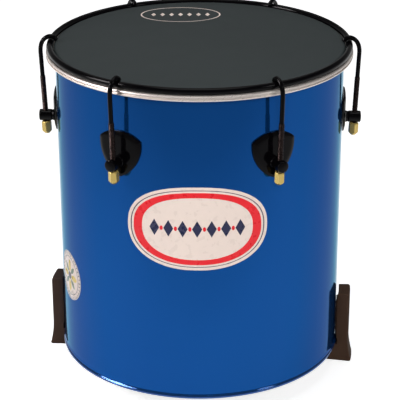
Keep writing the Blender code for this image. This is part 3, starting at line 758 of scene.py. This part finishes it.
def plate_surface():
    """Plate of a lug: rings from the back's middle over the edge and the bevel to the front's middle.

    A point (across, up, depth) of the flat plate is bent to an angle of across / shell radius,
    at a radius of plate back + depth.
    """
    edge = PLATE_THICKNESS - PLATE_BEVEL_DEPTH
    turn = np.radians(np.linspace(0, 90, 6))
    rings = [(PLATE_BACK_BREAK, 0.0), (0.0, PLATE_BACK_BREAK)]
    rings += [(PLATE_EDGE_BREAK * (1 - c), edge - PLATE_EDGE_BREAK * (1 - s))
              for c, s in zip(np.cos(turn), np.sin(turn))]
    slope = np.linspace(0, 1, 9)[1:]
    rise = slope + PLATE_BEVEL_SWELL * np.sin(np.pi * slope)
    bevel = PLATE_BEVEL_WIDTH - PLATE_EDGE_BREAK
    rings += [(PLATE_EDGE_BREAK + bevel * s, edge + PLATE_BEVEL_DEPTH * r) for s, r in zip(slope, rise)]
    outlines = np.stack([plate_outline(inset) for inset, depth in rings])
    depths = np.array([depth for inset, depth in rings])
    centre = np.array([0.0, PLATE_TOP / 3])
    shares = np.linspace(0, 1, 9)[:, None, None]
    back = centre + (outlines[:1] - centre) * shares[:-1]
    front = centre + (outlines[-1:] - centre) * shares[::-1][1:]
    flat = np.concatenate([back, outlines, front])
    depth = np.concatenate([np.zeros(len(back)), depths, np.full(len(front), PLATE_THICKNESS)])[:, None]
    angle = flat[..., 0] / SHELL_RADIUS
    radius = PLATE_BACK + depth
    return np.stack([radius * np.cos(angle), radius * np.sin(angle), POST_Z + flat[..., 1]], -1)


def post_profile():
    """Distance and radius along a post: a groove near the plate, a round shoulder and a low dome."""
    edge = POST_RADIUS - POST_END_ROUND
    shoulder = POST_LENGTH - POST_DOME
    dome = (edge ** 2 + POST_DOME ** 2) / (2 * POST_DOME)
    slope = math.degrees(math.asin(edge / dome))
    along = np.linspace(*POST_GROOVE_FROM_TO, 13)
    groove = POST_RADIUS - POST_GROOVE * np.sin(np.pi * np.linspace(0, 1, 13)) ** 2
    return np.vstack([
        [[0, 0], [0, POST_RADIUS - GAP], [GAP, POST_RADIUS]],
        np.stack([along, groove], -1),
        arc((shoulder - POST_END_ROUND, edge), POST_END_ROUND, 90, slope, 7),
        arc((POST_LENGTH - dome, 0), dome, slope, 0, 8)[1:],
    ])


class DRUM_OT_lugs(bpy.types.Operator):
    """Plates and posts of the lugs"""

    bl_idname = "drum.lugs"
    bl_label = "Lugs"

    def execute(self, context):
        plate = plate_surface()
        post = outward(post_profile(), 48, POST_BACK, POST_Z)
        for number in LUGS:
            bearing = lug_bearing(number)
            parts = [(facing(plate, bearing), False, True, False)]
            add(f"plate_{number}", parts, black(context), "drum", [f"lug_plate_{number}"], 30)
            parts = [(facing(post, bearing), True, False, False)]
            add(f"post_{number}", parts, black(context), "drum", [f"lug_post_{number}"])
        return {"FINISHED"}


def rod_axis(distance):
    """Radius and height on a rod's leaning axis, counted up from the post's centre."""
    return np.array([ROD_POST_RADIUS + distance * math.sin(LEAN), POST_Z + distance * math.cos(LEAN)])


def rod_surface(sides, pitch, depth):
    """Hook rod: a circle carried along its centre line in the lug's (out, up) plane.

    The line is a leaning straight, a cubic bend, an arc round the hoop and a round tip. On the
    lower straight the radius waves by cos(angle - 2 pi distance / pitch), which is the thread.
    """
    low = NUT_TOP - NUT_LENGTH + NUT_FLOOR + GAP
    top = (ROD_TOP_Z - POST_Z) / math.cos(LEAN)
    lean = np.array([math.sin(LEAN), math.cos(LEAN)])
    turns = int((THREAD_ABOVE_POST - low) / pitch * ROWS_PER_TURN)
    threaded = np.linspace(low, THREAD_ABOVE_POST, turns)
    plain = np.linspace(THREAD_ABOVE_POST + THREAD_RUN_OUT, top, 8)
    distance = np.concatenate([threaded, plain])
    straight = rod_axis(0) + distance[:, None] * lean

    first = math.radians(HOOK_BEND_ANGLE)
    over = np.array([HOOP_RADIUS + HOOK_REACH * math.cos(first), HOOP_Z + HOOK_REACH * math.sin(first)])
    out = np.array([math.sin(first), -math.cos(first)])
    bend = straight[-1]
    t = np.linspace(0, 1, 17)[1:-1, None]
    curve = ((1 - t) ** 3 * bend + 3 * t * (1 - t) ** 2 * (bend + lean * HOOK_BEND_START)
             + 3 * t * t * (1 - t) * (over + out * HOOK_BEND_END) + t ** 3 * over)
    around = arc((HOOP_RADIUS, HOOP_Z), HOOK_REACH, HOOK_BEND_ANGLE, HOOK_TIP_ANGLE, 14)
    close = np.radians(np.linspace(0, 90, 8))[1:-1]
    forward = (around[-1] - around[-2]) / np.linalg.norm(around[-1] - around[-2])
    tip = around[-1] + np.sin(close)[:, None] * ROD_WIRE * HOOK_TIP_ROUND * forward
    path = np.vstack([straight, curve, around, tip])

    along = np.gradient(path, axis=0)
    along /= np.linalg.norm(along, axis=1)[:, None]
    normal = np.stack([along[:, 1], -along[:, 0]], -1)
    angle = np.linspace(0, 2 * np.pi, sides, endpoint=False)[None]
    radius = np.full((len(path), 1), ROD_WIRE) + 0 * angle
    ends = np.minimum(threaded - low, THREAD_ABOVE_POST - threaded)[:, None]
    wave = np.cos(angle - 2 * np.pi * threaded[:, None] / pitch)
    fade = np.clip(ends / pitch, 0, 1)
    radius[:turns] = ROD_THREAD - depth / 2 + depth / 2 * wave * fade - ROD_END_TAPER * (1 - fade)
    radius[-len(close):] = ROD_WIRE * (1 - HOOK_TIP_ROUND + HOOK_TIP_ROUND * np.cos(close))[:, None]
    across = radius * np.sin(angle)
    aside = radius * np.cos(angle)
    return np.stack([
        path[:, None, 0] + aside * normal[:, None, 0],
        across,
        path[:, None, 1] + aside * normal[:, None, 1],
    ], -1)


class DRUM_OT_rods(bpy.types.Operator):
    """Hook rods with their threads"""

    bl_idname = "drum.rods"
    bl_label = "Hook rods"

    def execute(self, context):
        sizes = context.scene.drum_sizes
        rod = rod_surface(sizes.wire_sides, sizes.thread_pitch, sizes.thread_depth)
        colours = context.scene.drum_colours
        plating = rod_finish("rubbed_black", tuple(colours.black), tuple(colours.rubbed))
        for number in LUGS:
            parts = [(facing(rod, lug_bearing(number)), False, True, True)]
            nodes = [f"tension_rod_{number}"]
            add(f"hook_rod_{number}", parts, plating, f"rod_{number}", nodes)
        return {"FINISHED"}


def nut_surface(turn):
    """Long hexagon nut with coned ends and a blind bore, on the rod's leaning axis.

    The hexagon is flat / (sum of |cos(angle - 60 k)|^n)^(1/n), whose power n rounds the corners, and
    the wall is the smooth least of that and the cones: (hexagon^-m + cone^-m)^(-1/m).
    """
    angle = np.linspace(0, 2 * np.pi, 144, endpoint=False)[None]
    n, m = NUT_CORNER_POWER, NUT_CONE_POWER
    sixths = np.abs(np.cos(angle[..., None] - np.radians([0, 60, 120]))) ** n
    hexagon = NUT_FLAT / sixths.sum(-1) ** (1 / n)
    down = NUT_LENGTH * (1 - np.cos(np.pi * np.linspace(0, 1, 41))) / 2
    top_cone = NUT_CORNER - NUT_TOP_CHAMFER + down
    low_cone = NUT_CORNER - NUT_LOW_CHAMFER + (NUT_LENGTH - down) * NUT_LOW_SLOPE
    cone = np.minimum(top_cone, low_cone)[:, None]
    wall = (hexagon ** -m + cone ** -m) ** (-1 / m)
    bore = ROD_THREAD + GAP
    depth = NUT_LENGTH - NUT_FLOOR
    ring = 0 * angle + 1
    radius = np.vstack([0 * ring, bore * ring, bore * ring, wall, wall[-1:] * NUT_END_SHARE, 0 * ring])
    height = -np.concatenate([[depth, depth, 0.0], down, [NUT_LENGTH + NUT_END_RISE] * 2])
    x = radius * np.cos(angle + math.radians(turn))
    y = radius * np.sin(angle + math.radians(turn))
    z = height[:, None] + 0 * angle
    lean_x = x * math.cos(LEAN) + z * math.sin(LEAN)
    lean_z = z * math.cos(LEAN) - x * math.sin(LEAN)
    base = rod_axis(NUT_TOP)
    return np.stack([base[0] + lean_x, y, base[1] + lean_z], -1)


class DRUM_OT_nuts(bpy.types.Operator):
    """Hexagon nuts under the posts"""

    bl_idname = "drum.nuts"
    bl_label = "Nuts"

    def execute(self, context):
        colour = tuple(context.scene.drum_colours.brass)
        brass = worn_finish("yellow_brass", colour, roughness=0.2, metallic=0.7, grain=500.0)
        for number, turn in zip(LUGS, NUT_TURNS):
            parts = [(facing(nut_surface(turn), lug_bearing(number)), False, True, False)]
            add(f"nut_{number}", parts, brass, f"nut_{number}", [f"tension_nut_{number}"], 25)
        return {"FINISHED"}


def screw_surface(shank, height):
    """Pan-head screw: the head's dome less a cross recess, then the shank.

    Over the head, rise = dome(radius) - recess * inside, and inside falls from one to zero at the
    sides and at the ends of the cross's nearer bar.
    """
    angle = np.linspace(0, 2 * np.pi, 96, endpoint=False)[None]
    share = np.linspace(0, 1, 30)[:, None]
    dome = SCREW_HEAD_HEIGHT * (1 - SCREW_HEAD_FALL * share ** 3)
    x, y = share * SCREW_HEAD_RADIUS * np.cos(angle), share * SCREW_HEAD_RADIUS * np.sin(angle)
    near, far = np.minimum(np.abs(x), np.abs(y)), np.maximum(np.abs(x), np.abs(y))
    inside = np.clip((CROSS_HALF_WIDTH - near) / CROSS_SIDE_FADE, 0, 1)
    inside = inside * np.clip((CROSS_REACH - far) / CROSS_END_FADE, 0, 1)
    head = -(dome - SCREW_RECESS * inside)
    ring = 0 * angle + 1
    radius = np.vstack([share * SCREW_HEAD_RADIUS * ring, SCREW_HEAD_RADIUS * ring, SCREW_RADIUS * ring,
                        SCREW_RADIUS * ring, 0 * ring])
    along = np.vstack([head, 0 * ring, 0 * ring, shank * ring, shank * ring])
    across, up = radius * np.cos(angle), radius * np.sin(angle)
    return np.stack([SCREW_SEAT + along, across, height + up], -1)


def washer_surface(height):
    """Flat washer with softly rounded edges, turned round a line out of the drum."""
    hole = SCREW_RADIUS + GAP
    profile = rounded([
        (0, hole, WASHER_HOLE_ROUND), (0, WASHER_RADIUS, WASHER_ROUND),
        (WASHER_THICKNESS, WASHER_RADIUS, WASHER_ROUND), (WASHER_THICKNESS, hole, WASHER_HOLE_ROUND),
    ])
    return outward(profile, 48, WASHER_SEAT, height)


class DRUM_OT_fasteners(bpy.types.Operator):
    """Screws and washers inside the shell"""

    bl_idname = "drum.fasteners"
    bl_label = "Fasteners"

    def execute(self, context):
        tap = POST_BACK + POST_TAP - GAP - SCREW_SEAT
        grip = SHELL_RADIUS + FOOT_SCREW_GRIP - GAP - SCREW_SEAT
        places = [(f"lug_{{}}_{n}", lug_bearing(n), POST_Z, tap) for n in LUGS]
        for side, bearing in FOOT_BEARINGS.items():
            for n, height in enumerate(FOOT_SCREW_HEIGHTS, start=1):
                places.append((f"foot_{{}}_{side}_{n}", bearing, RIM_Z + height, grip))
        for name, bearing, height, shank in places:
            screw, washer = name.format("screw"), name.format("washer")
            parts = [(facing(screw_surface(shank, height), bearing), False, True, False)]
            add(f"pan_{screw}", parts, zinc(context), "drum", [screw])
            parts = [(facing(washer_surface(height), bearing), True, True, False)]
            add(f"flat_{washer}", parts, zinc(context), "drum", [washer])
        return {"FINISHED"}


def foot_surface():
    """Foot: its rounded outline carried round the drum's axis, with rounded ends.

    The ends draw in by r (1 - cos t) while the angle closes by r sin t. On the inner face, the leg
    stands off the shell, and a smooth window of angle and height brings it in to touch the wall.
    """
    half = math.asin(FOOT_WIDTH / 2 / SHELL_RADIUS)
    turn = np.radians(np.linspace(90, 0, 6))
    first = -half + FOOT_END_ROUND / SHELL_RADIUS * (1 - np.sin(turn))
    trim = FOOT_END_ROUND * (1 - np.cos(turn))
    middle = np.linspace(first[-1], -first[-1], 41)[1:-1]
    angles = np.concatenate([first, middle, -first[::-1]])[:, None]
    trims = np.concatenate([trim, 0 * middle, trim[::-1]])

    outline = np.stack([foot_outline(value) for value in trims])
    radius, height = outline[..., 0], outline[..., 1]
    leg = SHELL_RADIUS + FOOT_STAND_OFF
    window = (smooth((FOOT_PAD_WIDTH / 2 - np.abs(angles) * SHELL_RADIUS) / FOOT_PAD_SIDE_FADE)
              * smooth((height - RIM_Z - FOOT_PAD_LOW) / FOOT_PAD_END_FADE)
              * smooth((RIM_Z + FOOT_PAD_HIGH - height) / FOOT_PAD_END_FADE))
    touching = np.abs(radius - leg) < 0.01 * MM
    radius = radius - np.where(touching, (FOOT_STAND_OFF - GAP) * window, 0)
    return np.stack([radius * np.cos(angles), radius * np.sin(angles), height], -1)


def smooth(value):
    """Smooth step: 3 t^2 - 2 t^3 between zero and one."""
    t = np.clip(value, 0, 1)
    return t * t * (3 - 2 * t)


def foot_outline(trim):
    """Closed outline (radius, height) of the foot, drawn in by a trim at its outer face and top."""
    outer = SHELL_RADIUS + FOOT_OUTER - trim
    toe = outer + FOOT_FLARE
    top = RIM_Z + FOOT_RISE - trim
    leg = SHELL_RADIUS + FOOT_STAND_OFF
    notch = leg + FOOT_NOTCH_DEPTH
    notch_top = RIM_Z + FOOT_NOTCH_HEIGHT
    lip_out = SHELL_INNER - GAP
    lip_in = lip_out - FOOT_LIP_THICKNESS
    lip_top = RIM_Z + FOOT_LIP_RISE
    small = FOOT_INNER_ROUND
    share = np.linspace(0, 1, 13)
    flare = np.stack([toe - FOOT_FLARE * np.sin(share * np.pi / 2), FOOT_FLARE_HEIGHT * share], -1)
    wall = np.linspace(top - 1.0 * MM, notch_top + 2 * FOOT_NOTCH_DEPTH, 60)
    return np.vstack([
        arc((lip_in + small, small), small, 180, 270, 5),
        arc((toe - FOOT_TOE_ROUND, FOOT_TOE_ROUND), FOOT_TOE_ROUND, -90, -10, 6),
        flare[1:],
        arc((outer - FOOT_TOP_ROUND, top - FOOT_TOP_ROUND), FOOT_TOP_ROUND, 0, 90, 8),
        arc((leg + small, top - small), small, 90, 180, 5),
        np.stack([0 * wall + leg, wall], -1),
        [[leg, notch_top + FOOT_NOTCH_DEPTH], [notch, notch_top], [notch, RIM_Z - GAP]],
        [[lip_out, RIM_Z - GAP]],
        arc((lip_out - small, lip_top - small), small, 0, 90, 4),
        arc((lip_in + small, lip_top - small), small, 90, 180, 4),
    ])


class DRUM_OT_feet(bpy.types.Operator):
    """Rubber feet that grip the rim"""

    bl_idname = "drum.feet"
    bl_label = "Feet"

    def execute(self, context):
        rubber = rubber_finish("brown_rubber", tuple(context.scene.drum_colours.rubber))
        foot = foot_surface()
        for side, bearing in FOOT_BEARINGS.items():
            parts = [(facing(foot, bearing), False, True, True)]
            add(f"rubber_foot_{side}", parts, rubber, "drum", [f"foot_{side}"])
        return {"FINISHED"}


def motif(wide, tall, power=2.0, centre=(0.0, 0.0), turn=0.0, hole=0.0, sides=96):
    """Printed shape as closed rings of (across, up, layer) points, the front at one, the back at zero.

    Its edge is a superellipse, |x / wide|^p + |y / tall|^p = 1. A hole is the share left open.
    """
    angle = np.linspace(0, 2 * np.pi, sides, endpoint=False)[None]
    rings = max(3, int(max(wide, tall) * (1 - hole) / (2.5 * MM)) + 2)
    share = np.linspace(hole, 1, rings)
    share = np.concatenate([share, share[::-1]])[:, None]
    layer = np.repeat([1.0, 0.0], rings)[:, None] + 0 * angle
    c, s = np.cos(angle), np.sin(angle)
    x = wide * share * np.sign(c) * np.abs(c) ** (2 / power)
    y = tall * share * np.sign(s) * np.abs(s) ** (2 / power)
    tilt = math.radians(turn)
    across = centre[0] + x * math.cos(tilt) - y * math.sin(tilt)
    up = centre[1] + x * math.sin(tilt) + y * math.cos(tilt)
    return np.stack([across, up, layer], -1), hole > 0


def on_shell(shape, bearing, height, low, high):
    """A motif bent to the shell: angle = bearing + across / radius, radius = shell + layer."""
    angle = np.radians(bearing - 90) + shape[..., 0] / SHELL_RADIUS
    radius = SHELL_RADIUS + low + (high - low) * shape[..., 2]
    return np.stack([radius * np.cos(angle), radius * np.sin(angle), height + shape[..., 1]], -1)


def on_head(shape, low, high):
    """A motif laid on the head, with its layers stacked upwards."""
    return np.stack([shape[..., 0], shape[..., 1], HEAD_Z + low + (high - low) * shape[..., 2]], -1)


class DRUM_OT_labels(bpy.types.Operator):
    """Plain printed labels: an oval one, a round one with a rosette, and an oval line on the head"""

    bl_idname = "drum.labels"
    bl_label = "Labels"

    def execute(self, context):
        sizes, colours = context.scene.drum_sizes, context.scene.drum_colours
        wide, tall = sizes.label_width, sizes.label_height
        size, film = sizes.rosette_radius, sizes.label_film
        inks = {name: print_finish(f"print_{name}", tuple(getattr(colours, name)))
                for name in ("cream", "red", "navy", "yellow", "green")}

        def band(share_wide, share_tall, hole):
            return motif(wide * share_wide, tall * share_tall, LABEL_POWER, hole=hole, sides=192)

        def row(first, count, share_wide, share_tall, power):
            """Motifs along the oval label, a fifth of its half width apart."""
            places = [(wide * 0.2 * (first + i), 0.0) for i in range(count)]
            return [motif(wide * share_wide, tall * share_tall, power, place, sides=24) for place in places]

        def round_band(share, hole, sides=128):
            return motif(size * share, size * share, hole=hole, sides=sides)

        def around(turns, out, share_wide, share_long, power, sides):
            """Motifs that point outwards, at turns in degrees round the rosette's middle."""
            places = [(size * out * math.sin(a), size * out * math.cos(a)) for a in map(math.radians, turns)]
            return [motif(size * share_wide, size * share_long, power, place, -t, sides=sides)
                    for t, place in zip(turns, places)]

        navy = around(range(0, 360, 10), 0.9, 0.015, 0.045, 6.0, 24)
        navy += [round_band(0.97, 0.985), round_band(0.80, 0.97)]
        yellow = around(range(0, 360, 90), 0.42, 0.13, 0.25, 1.6, 40)
        green = around(range(45, 360, 90), 0.40, 0.09, 0.22, 1.6, 40)
        layers = [
            ("label_ground", "cream", LABEL_PLACE, 0, [band(1.0, 1.0, 0.0)]),
            ("label_navy", "navy", LABEL_PLACE, 1, [band(0.955, 0.93, 0.985), *row(-3, 7, 0.070, 0.20, 1.0)]),
            ("label_red", "red", LABEL_PLACE, 1, [band(0.91, 0.87, 0.86), *row(-2.5, 6, 0.022, 0.055, 2.0)]),
            ("rosette_ground", "cream", ROSETTE_PLACE, 0, [round_band(1.0, 0.0)]),
            ("rosette_navy", "navy", ROSETTE_PLACE, 1, navy),
            ("rosette_yellow", "yellow", ROSETTE_PLACE, 1, yellow),
            ("rosette_green", "green", ROSETTE_PLACE, 1, green),
            ("rosette_middle", "navy", ROSETTE_PLACE, 2, [round_band(0.15, 0.0, 48)]),
        ]
        for name, ink, (bearing, height), layer, motifs in layers:
            low, high = max(0, layer - 0.5) * film, (layer + 1) * film
            parts = [(on_shell(shape, bearing, height, low, high), holed, True, False)
                     for shape, holed in motifs]
            add(name, parts, inks[ink], "drum")

        x, y = HEAD_PRINT_PLACE
        lines = [motif(*HEAD_PRINT_HALVES, 2.0, (x, y), hole=0.965, sides=160)]
        lines += [motif(*HEAD_DIAMOND_HALVES, 1.0, (x + i * HEAD_DIAMOND_STEP, y), sides=24)
                  for i in range(-3, 4)]
        parts = [(on_head(shape, 0.0, film), holed, True, False) for shape, holed in lines]
        add("head_print", parts, inks["cream"], "drum")
        return {"FINISHED"}


def area_light(name, place, target, size, radiance, spread):
    """A soft panel that faces a point, and isn't seen itself.

    The radiance is the one straight ahead, and the spread is the angle, in degrees, that the grid in front
    of the panel lets through. With a = spread / 2 the grid passes 1 - tan(x) / tan(a) at an angle x, so
    the power is 2 * pi * area * radiance * (sin(a)**2 / 2 - (a / 2 - sin(2 * a) / 4) / tan(a)).
    """
    half = math.radians(spread) / 2
    passed = math.sin(half) ** 2 / 2 - (half / 2 - math.sin(2 * half) / 4) / math.tan(half)
    data = bpy.data.lights.new(name, "AREA")
    data.shape = "RECTANGLE"
    data.size, data.size_y = size
    data.energy = 2 * math.pi * size[0] * size[1] * radiance * passed
    data.spread = math.radians(spread)
    obj = bpy.data.objects.new(name, data)
    bpy.context.scene.collection.objects.link(obj)
    obj.rotation_euler = (Vector(target) - Vector(place)).to_track_quat("-Z", "Y").to_euler()
    obj.location = place
    obj.visible_camera = False
    return obj


def white_floor(name):
    """Pale floor, lifted to white beside and behind the drum for camera, mirror and clear-body rays."""
    finish = Finish(name, roughness=0.8)
    finish.colour((FLOOR_GREY, FLOOR_GREY, FLOOR_GREY, 1))
    finish.fixed(Specular_IOR_Level=0.1)
    rays = finish.nodes.new("ShaderNodeLightPath").outputs
    seen = finish.maths("MAXIMUM", rays["Is Camera Ray"], rays["Is Glossy Ray"])
    seen = finish.maths("MAXIMUM", seen, rays["Is Transmission Ray"])
    finish.feed(finish.shader.inputs["Emission Color"], (1, 1, 1, 1))
    lift = finish.spread(finish.split()[1], *LIFT_FROM_TO, FRONT_LIFT, FLOOR_LIFT)
    finish.feed(finish.shader.inputs["Emission Strength"], finish.maths("MULTIPLY", seen, lift))
    return finish.material


def studio_world():
    """Pale surroundings near the horizon that fall to a dim ceiling."""
    world = bpy.data.worlds.new("studio")
    world.use_nodes = True
    nodes, links = world.node_tree.nodes, world.node_tree.links
    background = nodes["Background"]
    background.inputs["Color"].default_value = (1, 1, 1, 1)
    direction = nodes.new("ShaderNodeTexCoord")
    split = nodes.new("ShaderNodeSeparateXYZ")
    links.new(direction.outputs["Generated"], split.inputs[0])
    height = nodes.new("ShaderNodeMapRange")
    height.interpolation_type = "SMOOTHSTEP"
    for socket, level in zip(MAP_SOCKETS, (*SKY_FROM_TO, HORIZON, CEILING)):
        height.inputs[socket].default_value = level
    links.new(split.outputs["Z"], height.inputs["Value"])
    links.new(height.outputs["Result"], background.inputs["Strength"])
    return world


class DRUM_OT_stage(bpy.types.Operator):
    """Floor, lights, world and camera"""

    bl_idname = "drum.stage"
    bl_label = "Stage"

    def execute(self, context):
        corners = [(x * FLOOR_HALF, y * FLOOR_HALF, 0) for x, y in ((-1, -1), (1, -1), (1, 1), (-1, 1))]
        mesh = bpy.data.meshes.new("floor")
        mesh.from_pydata(corners, [], [(0, 1, 2, 3)])
        mesh.materials.append(white_floor("floor_white"))
        floor = bpy.data.objects.new("floor", mesh)
        context.scene.collection.objects.link(floor)
        context.scene.world = studio_world()

        lamps = {name: area_light(name, *values) for name, values in LAMPS.items()}
        lamps["window"].data.color = WINDOW_COLOUR
        lamps["window"].visible_diffuse = False
        lamps["key"].visible_glossy = False
        lamps["front"].visible_glossy = False
        flag = bpy.data.collections.new("kept off the floor")
        flag.objects.link(floor)
        lamps["front"].light_linking.receiver_collection = flag
        flag.collection_objects[0].light_linking.link_state = "EXCLUDE"

        data = bpy.data.cameras.new("camera")
        data.sensor_width = SENSOR_WIDTH
        data.lens = FOCAL_PIXELS * SENSOR_WIDTH / PICTURE_PIXELS
        camera = bpy.data.objects.new("camera", data)
        context.scene.collection.objects.link(camera)
        look = Matrix.Rotation(math.pi / 2 - CAMERA_DOWN, 4, "X") @ Matrix.Rotation(CAMERA_ROLL, 4, "Z")
        camera.matrix_world = Matrix.Translation(CAMERA_PLACE) @ look
        context.scene.camera = camera
        context.scene.view_settings.view_transform = "Standard"
        return {"FINISHED"}


class DRUM_PT_panel(bpy.types.Panel):
    """Lists the drum's sizes, colours and steps"""

    bl_label = "Drum"
    bl_idname = "DRUM_PT_panel"
    bl_space_type = "VIEW_3D"
    bl_region_type = "UI"
    bl_category = "Drum"

    def draw(self, context):
        for group in (context.scene.drum_sizes, context.scene.drum_colours):
            for name in group.__annotations__:
                self.layout.prop(group, name)
        for step in STEPS:
            self.layout.operator(step.bl_idname)


STEPS = (
    DRUM_OT_stage, DRUM_OT_shell, DRUM_OT_head, DRUM_OT_lugs, DRUM_OT_rods,
    DRUM_OT_nuts, DRUM_OT_fasteners, DRUM_OT_feet, DRUM_OT_labels,
)
CLASSES = (DrumSizes, DrumColours, *STEPS, DRUM_PT_panel)


def register():
    for cls in CLASSES:
        bpy.utils.register_class(cls)
    bpy.types.Scene.drum_sizes = bpy.props.PointerProperty(type=DrumSizes)
    bpy.types.Scene.drum_colours = bpy.props.PointerProperty(type=DrumColours)


def unregister():
    del bpy.types.Scene.drum_sizes
    del bpy.types.Scene.drum_colours
    for cls in reversed(CLASSES):
        bpy.utils.unregister_class(cls)


def main():
    register()
    bpy.ops.drum.stage()
    bpy.ops.drum.shell()
    bpy.ops.drum.head()
    bpy.ops.drum.lugs()
    bpy.ops.drum.rods()
    bpy.ops.drum.nuts()
    bpy.ops.drum.fasteners()
    bpy.ops.drum.feet()
    bpy.ops.drum.labels()


if __name__ == "__main__":
    main()
